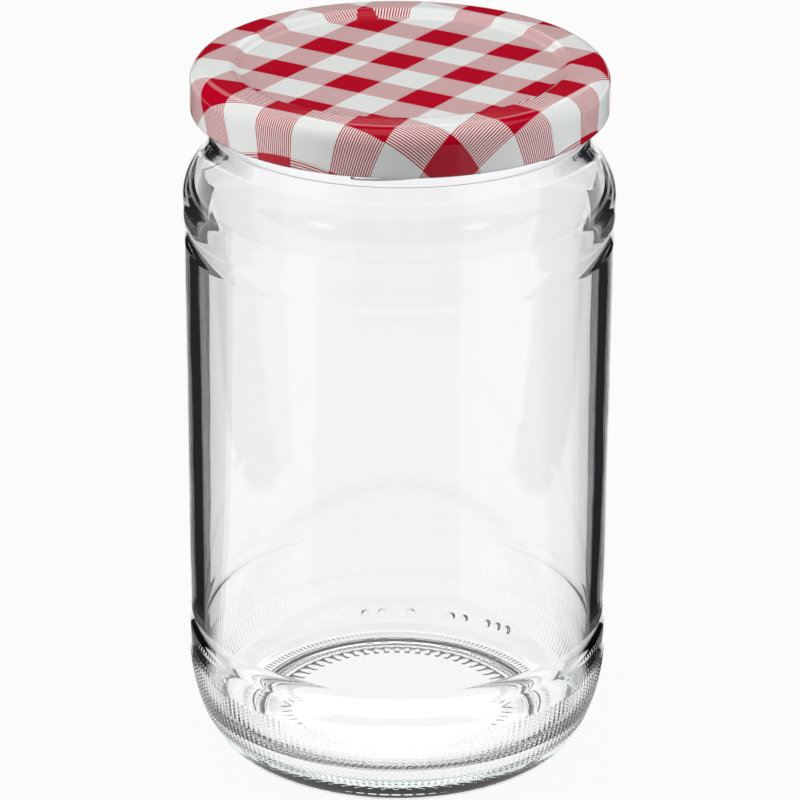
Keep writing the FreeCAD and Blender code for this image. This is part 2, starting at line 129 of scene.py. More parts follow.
# How much of the flat sheet a millimetre of each zone of the pressed lid takes up.
PRESS_SHARES = {"panel": 1.0, "step": 0.26, "shoulder": 0.74, "corner": 0.90, "skirt": 0.82}


# ---------------------------------------------------------------- outlines

def touching(centre, radius, other):
    """Where a round touches another: on the line between their centres."""
    reach = math.dist(centre, other)
    return tuple(c + radius * (o - c) / reach for c, o in zip(centre, other))


def beside(centre, reach, height, side=1):
    """The point at this height that lies reach away from centre, outwards (1) or inwards (-1)."""
    return centre[0] + side * math.sqrt(reach ** 2 - (height - centre[1]) ** 2), height


def over(centre, reach, radius, side=1):
    """The point at this radius that lies reach away from centre, above (1) or below (-1)."""
    return radius, centre[1] + side * math.sqrt(reach ** 2 - (radius - centre[0]) ** 2)


def arc(centre, start, end, step):
    """Points along a round from start to end the short way, both included."""
    radius = math.dist(centre, start)
    first = math.atan2(start[1] - centre[1], start[0] - centre[0])
    last = math.atan2(end[1] - centre[1], end[0] - centre[0])
    turn = (last - first + math.pi) % (2 * math.pi) - math.pi
    count = max(2, math.ceil(abs(turn) * radius / step))
    return [(centre[0] + radius * math.cos(first + turn * i / count),
             centre[1] + radius * math.sin(first + turn * i / count)) for i in range(count + 1)]


def run(start, end, step):
    """Points along a straight line from start to end, both included."""
    count = max(1, math.ceil(math.dist(start, end) / step))
    return [tuple(a + (b - a) * i / count for a, b in zip(start, end)) for i in range(count + 1)]


def joined(*parts):
    """One outline from several, without doubled points."""
    line = []
    for point in (p for part in parts for p in part):
        if not line or math.dist(point, line[-1]) > SAME:
            line.append(point)
    return line


def hollow(low, high):
    """The shallow hollow line that runs round the glass, seen in its outline between two points."""
    chord = math.dist(low, high)
    stand_off = math.sqrt(LINE_CURVE ** 2 - chord ** 2 / 4)
    centre = ((low[0] + high[0]) / 2 + stand_off * (high[1] - low[1]) / chord,
              (low[1] + high[1]) / 2 - stand_off * (high[0] - low[0]) / chord)
    return arc(centre, low, high, GLASS_STEPS["line"])


# Centres of the glass's rounds.
HEEL_AT = (HEEL - HEEL_CURVE, HEEL_HEIGHT)
CORNER_AT = beside(HEEL_AT, HEEL_CURVE - HEEL_CORNER, HEEL_CORNER)
LIP_AT = (CORNER_AT[0] - BEARING_WIDTH, BEARING_LIP)
LEAD_AT = beside(LIP_AT, BEARING_LIP + PUSH_UP_CURVE, PUSH_UP - PUSH_UP_CURVE, -1)
INNER_HEEL = INNER - HEEL_AT[0]
FLOOR_AT = beside(HEEL_AT, INNER_HEEL - FLOOR_CURVE, FLOOR_HEIGHT + FLOOR_CURVE)
SHOULDER_AT = (GLASS_RADIUS - SHOULDER_CURVE, GLASS_TOP - SHOULDER_DROP)
NECK_AT = over(SHOULDER_AT, SHOULDER_CURVE + NECK_CURVE, NECK + NECK_CURVE)
INNER_SHOULDER = SHOULDER_CURVE - WALL
INNER_AT = over(NECK_AT, NECK_AT[0] - BORE + INNER_SHOULDER, INNER - INNER_SHOULDER, -1)
CROWN_AT = (MOUTH - RIM_WALL / 2, GLASS_TOP - RIM_WALL / 2)

LIP_MEETS_LEAD = touching(LIP_AT, BEARING_LIP, LEAD_AT)
HEEL_MEETS_CORNER = touching(HEEL_AT, HEEL_CURVE, CORNER_AT)


def middle_outline():
    """The plain raised middle of the underside."""
    return joined([(0, PUSH_UP)],
                  run((DISC, PUSH_UP), (TEETH_INNER - TEETH_LEAD, PUSH_UP), GLASS_STEPS["underside"]))


def teeth_outline():
    """The underside from its ring of teeth down to the foot."""
    return joined(run((TEETH_INNER, PUSH_UP), (LEAD_AT[0], PUSH_UP), GLASS_STEPS["teeth"]),
                  arc(LEAD_AT, (LEAD_AT[0], PUSH_UP), LIP_MEETS_LEAD, GLASS_STEPS["lead"]))


def lip_outline():
    """The round inside the foot."""
    return arc(LIP_AT, LIP_MEETS_LEAD, (LIP_AT[0], 0), GLASS_STEPS["lip"])


def foot_outline():
    """The flat ring that the jar stands on."""
    return run((LIP_AT[0], 0), (CORNER_AT[0], 0), GLASS_STEPS["foot"])


def heel_outline():
    """The heel: its tight lower corner and its long curve, which carries the rows of dots."""
    levels = range(DOT_LEVELS * DOT_ROWS, -1, -1)
    rows = [beside(HEEL_AT, HEEL_CURVE, DOT_TOP - DOT_ROW_TALL * level / DOT_LEVELS) for level in levels]
    return joined(
        arc(CORNER_AT, (CORNER_AT[0], 0), HEEL_MEETS_CORNER, GLASS_STEPS["corner"]),
        arc(HEEL_AT, HEEL_MEETS_CORNER, rows[0], GLASS_STEPS["heel"]),
        rows,
        arc(HEEL_AT, rows[-1], (HEEL, HEEL_HEIGHT), GLASS_STEPS["heel_head"]))


def wall_outline():
    """The outside from the heel to the shoulder, with a hollow line below and above the panel."""
    band, margin = GLASS_STEPS["band"], GLASS_STEPS["line_margin"]
    upper_head = GLASS_TOP - UPPER_LINE_DROP
    upper_foot = upper_head - LINE_TALL
    lower_foot = LOWER_LINE_HEIGHT - LINE_TALL
    panel_foot, panel_head = LOWER_LINE_HEIGHT + LINE_MARGIN, upper_foot - LINE_MARGIN
    return joined(
        run((HEEL, HEEL_HEIGHT), (HEEL, lower_foot), band),
        hollow((HEEL, lower_foot), (PANEL, LOWER_LINE_HEIGHT)),
        run((PANEL, LOWER_LINE_HEIGHT), (PANEL, panel_foot), margin),
        run((PANEL, panel_foot), (PANEL, panel_head), GLASS_STEPS["panel"]),
        run((PANEL, panel_head), (PANEL, upper_foot), margin),
        hollow((PANEL, upper_foot), (GLASS_RADIUS, upper_head)),
        run((GLASS_RADIUS, upper_head), (GLASS_RADIUS, SHOULDER_AT[1]), band))


def finish_outline():
    """The outside from the shoulder over the neck and the rounded rim into the bore."""
    meet = touching(SHOULDER_AT, SHOULDER_CURVE, NECK_AT)
    ledge_head = GLASS_TOP - LEDGE_DROP
    ledge_foot = ledge_head - (MOUTH - NECK)
    return joined(
        arc(SHOULDER_AT, (GLASS_RADIUS, SHOULDER_AT[1]), meet, GLASS_STEPS["shoulder"]),
        arc(NECK_AT, meet, (NECK, NECK_AT[1]), GLASS_STEPS["shoulder"]),
        run((NECK, NECK_AT[1]), (NECK, ledge_foot), GLASS_STEPS["neck"]),
        run((NECK, ledge_foot), (MOUTH, ledge_head), GLASS_STEPS["ledge"]),
        run((MOUTH, ledge_head), (MOUTH, CROWN_AT[1]), GLASS_STEPS["mouth"]),
        arc(CROWN_AT, (MOUTH, CROWN_AT[1]), (CROWN_AT[0], GLASS_TOP), GLASS_STEPS["rim"]),
        arc(CROWN_AT, (CROWN_AT[0], GLASS_TOP), (BORE, CROWN_AT[1]), GLASS_STEPS["rim"]),
        run((BORE, CROWN_AT[1]), (BORE, NECK_AT[1]), GLASS_STEPS["bore"]))


def inside_outline():
    """The inside from the neck down to the middle of the floor."""
    head = touching(NECK_AT, NECK_AT[0] - BORE, INNER_AT)
    foot = touching(HEEL_AT, INNER_HEEL, FLOOR_AT)
    return joined(
        arc(NECK_AT, (BORE, NECK_AT[1]), head, GLASS_STEPS["inner_neck"]),
        arc(INNER_AT, head, (INNER, INNER_AT[1]), GLASS_STEPS["inner_shoulder"]),
        run((INNER, INNER_AT[1]), (INNER, HEEL_AT[1]), GLASS_STEPS["inner_wall"]),
        arc(HEEL_AT, (INNER, HEEL_AT[1]), foot, GLASS_STEPS["inner_heel"]),
        arc(FLOOR_AT, foot, (FLOOR_AT[0], FLOOR_HEIGHT), GLASS_STEPS["inner_heel"]),
        run((FLOOR_AT[0], FLOOR_HEIGHT), (DISC, FLOOR_HEIGHT), GLASS_STEPS["floor"]),
        [(0, FLOOR_HEIGHT)])


def lid_outline(depth):
    """The pressed sheet's face at this depth below its outer face, from the middle outwards."""
    panel = LID_TOP - LID_RECESS
    crest_at = (CREST, LID_TOP - CREST_CURVE)
    step_at = beside(crest_at, CREST_CURVE + STEP_CURVE, panel + STEP_CURVE, -1)
    across = LID_RADIUS - SKIRT_CORNER - CREST
    drop = (SKIRT_CORNER - CREST_CURVE) / math.cos(SHOULDER_FALL) + across * math.tan(SHOULDER_FALL)
    corner_at = (CREST + across, crest_at[1] - drop)
    curl_at = (LID_RADIUS - CURL, LID_FOOT + CURL)
    lean = (math.sin(SHOULDER_FALL), math.cos(SHOULDER_FALL))
    crest, corner, curl = CREST_CURVE - depth, SKIRT_CORNER - depth, CURL - depth
    crest_end = (crest_at[0] + crest * lean[0], crest_at[1] + crest * lean[1])
    corner_start = (corner_at[0] + corner * lean[0], corner_at[1] + corner * lean[1])
    skirt = LID_RADIUS - depth
    curl_foot = (curl_at[0], curl_at[1] - curl)
    curl_tip = (curl_at[0] + curl * math.cos(-CURL_TURN), curl_at[1] + curl * math.sin(-CURL_TURN))
    meet = touching(step_at, STEP_CURVE + depth, crest_at)
    return joined(
        [(0, panel - depth)],
        run((LID_DISC, panel - depth), (step_at[0], panel - depth), LID_STEPS["panel"]),
        arc(step_at, (step_at[0], panel - depth), meet, LID_STEPS["step"]),
        arc(crest_at, meet, crest_end, LID_STEPS["crest"]),
        run(crest_end, corner_start, LID_STEPS["shoulder"]),
        arc(corner_at, corner_start, (skirt, corner_at[1]), LID_STEPS["corner"]),
        run((skirt, corner_at[1]), (skirt, curl_at[1]), LID_STEPS["skirt"]),
        arc(curl_at, (skirt, curl_at[1]), curl_foot, LID_STEPS["curl"]),
        arc(curl_at, curl_foot, curl_tip, LID_STEPS["curl"]))


# ---------------------------------------------------------------- meshes

def turned_point(radius, height, angle):
    """The place in metres of a point of an outline that is turned by an angle round Z."""
    return radius * math.sin(angle) * MM, -radius * math.cos(angle) * MM, height * MM


def outward(outline, index):
    """The unit normal of an outline at a point, to the right of the way it runs."""
    before, after = outline[max(index - 1, 0)], outline[min(index + 1, len(outline) - 1)]
    along = (after[0] - before[0], after[1] - before[1])
    length = math.hypot(*along)
    return along[1] / length, -along[0] / length


def turned_mesh(name, outline, counts, reliefs):
    """Turns an outline round Z.  Each of its points has a count of points round its ring, and
    a relief that says how far the surface stands out there, or None."""
    mesh = bpy.data.meshes.new(name)
    shape = bmesh.new()
    rings = []
    for index, ((radius, height), count, relief) in enumerate(zip(outline, counts, reliefs)):
        if radius < SAME:
            rings.append([shape.verts.new((0, 0, height * MM))])
            continue
        normal = outward(outline, index)
        ring = []
        for step in range(count):
            angle = 2 * math.pi * step / count
            rise = relief(radius, height, angle) if relief else 0.0
            place = turned_point(radius + rise * normal[0], height + rise * normal[1], angle)
            ring.append(shape.verts.new(place))
        rings.append(ring)
    for lower, upper in zip(rings, rings[1:]):
        stitch(shape, lower, upper)
    return smooth_result(mesh, shape)


def smooth_result(mesh, shape):
    """Writes a shape into its mesh with smooth faces."""
    for face in shape.faces:
        face.smooth = True
    shape.normal_update()
    shape.to_mesh(mesh)
    shape.free()
    return mesh


def stitch(shape, lower, upper):
    """Joins two rings of points, where one may have a multiple of the other's or be a pole."""
    few, many, flip = (lower, upper, False) if len(lower) <= len(upper) else (upper, lower, True)
    ratio = len(many) // len(few)

    def face(*corners):
        shape.faces.new(corners[::-1] if flip else corners)

    if len(few) == 1:
        for k in range(len(many)):
            face(few[0], many[(k + 1) % len(many)], many[k])
        return
    for k in range(len(few)):
        here, after = few[k], few[(k + 1) % len(few)]
        edge = [many[(k * ratio + j) % len(many)] for j in range(ratio + 1)]
        if ratio == 1:
            face(here, after, edge[1], edge[0])
            continue
        middle = ratio // 2
        for j in range(middle):
            face(here, edge[j + 1], edge[j])
        face(here, after, edge[middle])
        for j in range(middle, ratio):
            face(after, edge[j + 1], edge[j])


def swept_mesh(name, section_at, width, steps):
    """A closed bar swept round Z over an angle of this width, centred on the front:
    section_at(share) gives its section as (radius, height) points."""
    mesh = bpy.data.meshes.new(name)
    shape = bmesh.new()
    loops = []
    for step in range(steps + 1):
        share = step / steps
        angle = math.radians(width * share - width / 2)
        loops.append([shape.verts.new(turned_point(r, z, angle)) for r, z in section_at(share)])
    for one, two in zip(loops, loops[1:]):
        for k in range(len(one)):
            shape.faces.new((one[k], one[(k + 1) % len(one)], two[(k + 1) % len(one)], two[k]))
    shape.faces.new(loops[0][::-1])
    shape.faces.new(loops[-1])
    bmesh.ops.recalc_face_normals(shape, faces=shape.faces)
    return smooth_result(mesh, shape)


def new_piece(name, mesh, slot, *nodes):
    """A finished piece in the row frame: it rides on the jar and may stand for CAD nodes."""
    piece = bpy.data.objects.new(name, mesh)
    bpy.context.scene.collection.objects.link(piece)
    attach(piece, "root")
    if nodes:
        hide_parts(*nodes)


# ---------------------------------------------------------------- node trees

def add_node(tree, kind, links=(), **settings):
    """Adds a node, sets it up, and feeds its sockets from (socket, source) pairs."""
    made = tree.nodes.new(kind)
    for key, value in settings.items():
        setattr(made, key, value)
    for socket, source in links:
        if isinstance(source, bpy.types.NodeSocket):
            tree.links.new(source, made.inputs[socket])
        else:
            made.inputs[socket].default_value = source
    return made


class GeometryTree:
    """A geometry node tree under construction, with named inputs for its sizes."""

    def __init__(self, name):
        self.tree = bpy.data.node_groups.new(name, "GeometryNodeTree")
        self.tree.interface.new_socket("Geometry", in_out="INPUT", socket_type="NodeSocketGeometry")
        self.tree.interface.new_socket("Geometry", in_out="OUTPUT", socket_type="NodeSocketGeometry")
        self.inputs = self.tree.nodes.new("NodeGroupInput")
        self.outputs = self.tree.nodes.new("NodeGroupOutput")
        self.values = {}

    def size(self, name, value, kind):
        """Adds a named input and returns its socket."""
        item = self.tree.interface.new_socket(name, in_out="INPUT", socket_type=kind)
        self.values[item.identifier] = value
        return self.inputs.outputs[name]

    def node(self, kind, links=(), **settings):
        """Adds a node to the tree."""
        return add_node(self.tree, kind, links, **settings)

    def finish(self, geometry, material):
        """Ends the tree in plain faces with their material."""
        real = self.node("GeometryNodeRealizeInstances", [(0, geometry)])
        painted = self.node("GeometryNodeSetMaterial", [(0, real.outputs[0]), ("Material", material)])
        self.tree.links.new(painted.outputs[0], self.outputs.inputs[0])

    def evaluate(self, name, start):
        """Runs the tree on a start mesh and returns the result as a plain mesh."""
        holder = bpy.data.objects.new(name + "_maker", start)
        bpy.context.scene.collection.objects.link(holder)
        modifier = holder.modifiers.new("Maker", "NODES")
        modifier.node_group = self.tree
        for identifier, value in self.values.items():
            modifier[identifier] = value
        evaluated = holder.evaluated_get(bpy.context.evaluated_depsgraph_get())
        mesh = bpy.data.meshes.new_from_object(evaluated)
        mesh.name = name
        holder.modifiers.remove(modifier)
        bpy.data.objects.remove(holder)
        return mesh


def repeat_round(name, piece_mesh, count, first_angle, material):
    """Repeats a mesh round the Z axis, evenly spaced, by instances on a line of points."""
    tree = GeometryTree(name)
    number = tree.size("Count", count, "NodeSocketInt")
    start = tree.size("First Angle", first_angle, "NodeSocketFloat")
    points = tree.node("GeometryNodeMeshLine", [("Count", number), ("Offset", (0.0, 0.0, 0.0))],
                       mode="OFFSET")
    index = tree.node("GeometryNodeInputIndex")
    turn = tree.node("ShaderNodeMath", [(0, 2 * math.pi), (1, number)], operation="DIVIDE")
    angle = tree.node("ShaderNodeMath", [(0, index.outputs[0]), (1, turn.outputs[0]), (2, start)],
                      operation="MULTIPLY_ADD")
    spin = tree.node("ShaderNodeCombineXYZ", [("Z", angle.outputs[0])])
    placed = tree.node("GeometryNodeInstanceOnPoints", [
        ("Points", points.outputs[0]), ("Instance", tree.inputs.outputs["Geometry"]),
        ("Rotation", spin.outputs[0])])
    tree.finish(placed.outputs[0], material)
    return tree.evaluate(name, piece_mesh)


def build_grain_group():
    """Fine grain for any surface: a mask, and the normal of the bumps that go with it."""
    tree = bpy.data.node_groups.new("surface_grain", "ShaderNodeTree")
    tree.interface.new_socket("Place", in_out="INPUT", socket_type="NodeSocketVector")
    for name in ("Scale", "Detail", "Strength", "Distance"):
        tree.interface.new_socket(name, in_out="INPUT", socket_type="NodeSocketFloat")
    tree.interface.new_socket("Mask", in_out="OUTPUT", socket_type="NodeSocketFloat")
    tree.interface.new_socket("Normal", in_out="OUTPUT", socket_type="NodeSocketVector")
    given = tree.nodes.new("NodeGroupInput").outputs
    noise = add_node(tree, "ShaderNodeTexNoise", [
        ("Vector", given["Place"]), ("Scale", given["Scale"]), ("Detail", given["Detail"])])
    bumps = add_node(tree, "ShaderNodeBump", [
        ("Height", noise.outputs[0]), ("Strength", given["Strength"]), ("Distance", given["Distance"])])
    add_node(tree, "NodeGroupOutput", [("Mask", noise.outputs[0]), ("Normal", bumps.outputs[0])])
    return tree


GRAIN = build_grain_group()


class Shader:
    """A material under construction."""

    def __init__(self, name):
        self.material = bpy.data.materials.new(name)
        self.material.use_nodes = True
        self.tree = self.material.node_tree
        self.tree.nodes.clear()
        self.out = self.tree.nodes.new("ShaderNodeOutputMaterial")

    def node(self, kind, links=(), **settings):
        """Adds a node to the material."""
        return add_node(self.tree, kind, links, **settings)

    def math(self, operation, *values):
        """The output of a math node on these values."""
        return self.node("ShaderNodeMath", list(enumerate(values)), operation=operation).outputs[0]

    def grain(self, scale, detail, strength=0.0, distance=0.0):
        """The mask and the normal of a fine grain on Object coordinates."""
        place = self.node("ShaderNodeTexCoord").outputs["Object"]
        made = self.node("ShaderNodeGroup", node_tree=GRAIN)
        self.tree.links.new(place, made.inputs["Place"])
        for socket, value in zip(("Scale", "Detail", "Strength", "Distance"),
                                 (scale, detail, strength, distance)):
            made.inputs[socket].default_value = value
        return made.outputs["Mask"], made.outputs["Normal"]

    def between(self, mask, one, two):
        """A colour between two, after a mask."""
        links = [("Factor", mask), ("A", (*one, 1)), ("B", (*two, 1))]
        return self.node("ShaderNodeMix", links, data_type="RGBA").outputs["Result"]

    def surface(self, shader_node):
        """Joins a shader to the surface and returns the finished material."""
        self.tree.links.new(shader_node.outputs[0], self.out.inputs["Surface"])
        return self.material

    def principled(self, **sockets):
        """Finishes with the Principled shader, whose sockets are named by words."""
        links = [(key.replace("_", " "), value) for key, value in sockets.items()]
        return self.surface(self.node("ShaderNodeBsdfPrincipled", links))


# ---------------------------------------------------------------- materials

def glass_material():
    """Clear pressed soda-lime glass: slightly wavy, faintly green in its thick edges."""
    shader = Shader("clear_glass")
    _, ripple = shader.grain(scale=45.0, detail=1.0, strength=0.05, distance=0.001)
    depth = shader.node("ShaderNodeVolumeAbsorption", [("Color", (0.70, 0.82, 0.76, 1)), ("Density", 9.0)])
    shader.tree.links.new(depth.outputs[0], shader.out.inputs["Volume"])
    return shader.principled(Base_Color=(0.993, 0.989, 1.0, 1), Roughness=0.0, IOR=1.52,
                             Transmission_Weight=1.0, Normal=ripple)


def check_ink(shader):
    """Mask of the red ink: two sets of stripes, solid where they cross and pinstriped elsewhere."""
    flat = shader.node("ShaderNodeAttribute", attribute_name="flat_sheet").outputs["Vector"]
    place = shader.node("ShaderNodeSeparateXYZ", [(0, flat)])
    cos, sin = math.cos(CHECK_TURN), math.sin(CHECK_TURN)
    stripes, inked = [], []
    for (one, two), shift, share in zip(((cos, sin), (-sin, cos)), CHECK_PLACE, STRIPE_SHARES):
        first = shader.math("MULTIPLY_ADD", place.outputs[0], one / CHECK_PITCH, -shift / CHECK_PITCH)
        across = shader.math("MULTIPLY_ADD", place.outputs[1], two / CHECK_PITCH, first)
        within = shader.math("FLOORED_MODULO", across, 2.0)
        off_middle = shader.math("ABSOLUTE", shader.math("SUBTRACT", within, 0.5))
        stripe = shader.math("LESS_THAN", off_middle, share / 2)
        fine = shader.math("FRACT", shader.math("MULTIPLY", across, float(PINSTRIPES)))
        stripes.append(stripe)
        inked.append(shader.math("MULTIPLY", stripe, shader.math("GREATER_THAN", fine, 0.5)))
    crossing = shader.math("MULTIPLY", *stripes)
    return shader.math("MAXIMUM", crossing, shader.math("MAXIMUM", *inked))


def printed_material():
    """White lacquered tinplate with a red woven-check print."""
    shader = Shader("check_print_lacquer")
    colour = shader.between(check_ink(shader), (0.80, 0.81, 0.79), (0.47, 0.0, 0.016))
    peel, skin = shader.grain(scale=900.0, detail=2.0, strength=0.03, distance=0.0005)
    rough = shader.node("ShaderNodeMapRange", [("Value", peel), ("To Min", 0.07), ("To Max", 0.12)])
    return shader.principled(Base_Color=colour, Roughness=rough.outputs[0], Specular_IOR_Level=0.28,
                             Coat_Weight=0.05, Coat_Roughness=0.05, Normal=skin)


def inside_lacquer_material():
    """Pale, slightly cloudy lacquer inside the lid and on its lugs."""
    shader = Shader("inside_lacquer")
    cloud, _ = shader.grain(scale=60.0, detail=3.0)
    return shader.principled(Base_Color=shader.between(cloud, (0.70, 0.70, 0.68), (0.78, 0.78, 0.76)),
                             Roughness=0.28)


def compound_material():
    """Soft off-white sealing compound with a fine matt grain."""
    shader = Shader("sealing_compound")
    speckle, bumps = shader.grain(scale=1500.0, detail=3.0, strength=0.15, distance=0.0003)
    return shader.principled(Base_Color=shader.between(speckle, (0.62, 0.61, 0.58), (0.72, 0.71, 0.68)),
                             Roughness=0.6, Normal=bumps)


# ---------------------------------------------------------------- relief in the glass

def tooth(radius, _height, angle):
    """The ring of short bars on the raised underside."""
    if not TEETH_INNER < radius < TEETH_OUTER:
        return 0.0
    return TOOTH_RISE * max(0.0, math.cos(TEETH * angle))


def knurl(_radius, _height, angle):
    """The fine grooves across the ring that the jar stands on."""
    return KNURL_RISE * min(0.0, math.cos(KNURL_BARS * angle) - KNURL_LAND)


def dot(height, angle):
    """The rows of small dots round the heel."""
    row = (DOT_TOP - height) / DOT_ROW_TALL
    if not 0 < row < DOT_ROWS:
        return 0.0
    across = math.sin(math.pi * row) ** 2
    return DOT_RISE * across * max(0.0, math.cos(DOTS_AROUND * angle))


def mark(radius, height, angle):
    """Plain round marks low on the far side of the heel."""
    rise = 0.0
    for degrees in MARK_ANGLES:
        away = math.hypot(radius * (angle - math.radians(degrees)), height - MARK_HEIGHT) / MARK_RADIUS
        if away < 1:
            rise = MARK_RISE * (1 - away ** 2) ** 2
    return rise


def heel_relief(radius, height, angle):
    """All that stands out of the heel."""
    return max(dot(height, angle), mark(radius, height, angle))


# ---------------------------------------------------------------- pieces

def build_glass(material):
    """The jar: one wall, finely turned at the foot where the relief is moulded."""
    outline, counts, reliefs = [], [], []
    for part, count, relief in (
            (middle_outline(), PLAIN_COLUMNS, None), (teeth_outline(), TOOTH_COLUMNS, tooth),
            (lip_outline(), FINE_COLUMNS, None), (foot_outline(), FINE_COLUMNS, knurl),
            (heel_outline(), FINE_COLUMNS, heel_relief), (wall_outline(), PLAIN_COLUMNS, None),
            (finish_outline(), PLAIN_COLUMNS, None), (inside_outline(), PLAIN_COLUMNS, None)):
        if outline and math.dist(part[0], outline[-1]) < SAME:
            part = part[1:]
        outline += part
        counts += [count] * len(part)
        reliefs += [relief] * len(part)
    mesh = turned_mesh("glass_body", outline, counts, reliefs)
    mesh.materials.append(material)
    new_piece("glass_body", mesh, "glass", "glass_jar")


def build_threads(material):
    """Six thread ridges moulded round the mouth, each falling a little along its length."""
    def section(share):
        ease = math.sin(math.pi * share) ** 0.5
        height = THREAD_HEAD - THREAD_FALL * (1 - share)
        tall = THREAD_TALL / 2 * (THREAD_END + (1 - THREAD_END) * ease)
        points = []
        for side in range(THREAD_SIDES + 1):
            angle = math.pi * side / THREAD_SIDES - math.pi / 2
            points.append((MOUTH - THREAD_SUNK + (THREAD_PROUD * ease + THREAD_SUNK) * math.cos(angle),
                           height + tall * math.sin(angle)))
        return points

    one = swept_mesh("thread", section, THREAD_WIDTH, THREAD_STEPS)
    mesh = repeat_round("thread_ridges", one, THREADS, math.radians(THREAD_FIRST), material)
    new_piece("thread_ridges", mesh, "glass")


def flat_places(outline):
    """How far from the middle each point of the outline lay on the flat sheet before pressing."""
    panel = LID_TOP - LID_RECESS
    near = 0.001
    reach, places = 0.0, [0.0]
    for before, (radius, height) in zip(outline, outline[1:]):
        if radius >= LID_RADIUS - near or height < LID_TOP - SKIRT_CORNER:
            zone = "skirt"
        elif radius > LID_RADIUS - SKIRT_CORNER:
            zone = "corner"
        elif radius > CREST:
            zone = "shoulder"
        else:
            zone = "step" if height > panel + near else "panel"
        reach += PRESS_SHARES[zone] * math.dist(before, (radius, height))
        places.append(reach)
    return places


def build_lid(printed, inside):
    """The lid: one pressed sheet, printed outside, its edge rolled inwards."""
    outer, inner = lid_outline(0.0), lid_outline(PLATE)
    outline = outer + inner[::-1]
    mesh = turned_mesh("pressed_lid", outline, [LID_COLUMNS] * len(outline), [None] * len(outline))
    flat = flat_places(outer)
    flat += [flat[-1]] * len(inner)
    places = []
    for (radius, _), reach in zip(outline, flat):
        steps = 1 if radius < SAME else LID_COLUMNS
        for step in range(steps):
            angle = 2 * math.pi * step / steps
            places += [reach * math.sin(angle), -reach * math.cos(angle), 0.0]
    layer = mesh.attributes.new("flat_sheet", "FLOAT_VECTOR", "POINT")
    layer.data.foreach_set("vector", places)
    mesh.materials.append(printed)
    mesh.materials.append(inside)
    paint_inside(mesh, len(outer))
    new_piece("pressed_lid", mesh, "lid_lacquer", "lid")


def paint_inside(mesh, outer_rings):
    """Gives the second material to the sheet's inner face."""
    first_inside = 1 + (outer_rings - 1) * LID_COLUMNS
    for face in mesh.polygons:
        if min(face.vertices) >= first_inside:
            face.material_index = 1


def build_lugs(material):
    """Six lugs: stretches of the rolled edge pressed inwards to catch the threads."""
    edge, root = LID_RADIUS - 2 * CURL + LUG_SUNK, LID_RADIUS - CURL
    foot, head = LID_FOOT + LUG_FOOT, LID_FOOT + LUG_HEAD

    def section(share):
        ease = min(1.0, LUG_RAMPS * share, LUG_RAMPS * (1 - share))
        ease = ease * ease * (3 - 2 * ease)
        middle = edge - ease * (edge - LUG_TIP) + LUG_ROUND
        low = [(middle - LUG_ROUND * math.sin(a), foot + LUG_ROUND - LUG_ROUND * math.cos(a))
               for a in LUG_ROUND_TURNS]
        high = [(middle - LUG_ROUND * math.cos(a), head - LUG_ROUND + LUG_ROUND * math.sin(a))
                for a in LUG_ROUND_TURNS]
        return [(root, foot)] + low + high + [(root, head)]

    one = swept_mesh("lug", section, LUG_WIDTH, LUG_STEPS)
    mesh = repeat_round("lid_lugs", one, LUGS, math.radians(LUG_FIRST), material)
    new_piece("lid_lugs", mesh, "lid_lacquer")


def dress_ring():
    """The sealing ring keeps its CAD shape and gets its compound."""
    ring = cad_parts["sealing_ring"]
    ring.data.materials.clear()
    ring.data.materials.append(compound_material())


# ---------------------------------------------------------------- studio, in metres

TABLE_REACH = 1.5
TABLE_TONE = (0.45, 0.45, 0.46, 1)
TABLE_SHADE = 0.06  # how much of the shadow shows on the white
CEILING_REACH, CEILING_HEIGHT = 2.0, 1.6
CARD_TONES = {"black": 0.02, "grey": 0.55, "pale": 0.88}
CARD_BLUE = 1.06
CARD_REACH, CARD_SIDES = 0.9, 12
# Name, place of the ring's centre on X, inner radius, first and last angle from the back (+Y)
# towards the right, height above the table, and tone.
CARDS = (
    ("left_black_card", -0.047, 0.02, -81, -14, 0.0003, "black"),
    ("right_black_card", 0.047, 0.02, 16, 72, 0.0003, "black"),
    ("right_grey_card", 0.047, 0.02, 72, 104, 0.0003, "grey"),
    ("front_pale_card", 0.0, 0.13, 140, 232, 0.0004, "pale"),
    ("front_grey_card", 0.0, 0.14, 150, 222, 0.0005, "grey"))
JAR_TOP, JAR_MIDDLE = (0, 0, 0.15), (0, 0, 0.1)
WHITE, COOL_WHITE = (1, 1, 1), (0.95, 0.97, 1.0)
ROOM_LEVEL, ROOM_GLOSS = 0.22, 0.02
EYE_HEIGHT, EYE_DISTANCE = 0.0752, 0.8315
EYE_TILT, EYE_ROLL = math.radians(23.49), math.radians(0.31)
LENS, SENSOR, LENS_SHIFT = 178.4, 36.0, 0.002
NEAREST, FARTHEST = 0.05, 20.0


def hide_from(thing, *rays):
    """Hides an object of the studio from these kinds of ray."""
    for ray in rays:
        setattr(thing, "visible_" + ray, False)


def area_lamp(name, place, aim, size, power, colour=WHITE):
    """A soft rectangular lamp, aimed at a point."""
    data = bpy.data.lights.new(name, "AREA")
    data.shape = "RECTANGLE"
    data.size, data.size_y = size
    data.energy = power
    data.color = colour
    lamp = bpy.data.objects.new(name, data)
    lamp.location = place
    lamp.rotation_euler = (Vector(aim) - Vector(place)).to_track_quat("-Z", "Y").to_euler()
    bpy.context.scene.collection.objects.link(lamp)
    return lamp


def sheet(name, corners, material):
    """A flat sheet of the studio, from its corners."""
    mesh = bpy.data.meshes.new(name)
    mesh.from_pydata(corners, [], [tuple(range(len(corners)))])
    mesh.materials.append(material)
    made = bpy.data.objects.new(name, mesh)
    bpy.context.scene.collection.objects.link(made)
    return made


def level_square(name, reach, height, material):
    """A level square sheet round the jar's axis."""
    corners = [(-reach, -reach, height), (reach, -reach, height),
               (reach, reach, height), (-reach, reach, height)]
    return sheet(name, corners, material)


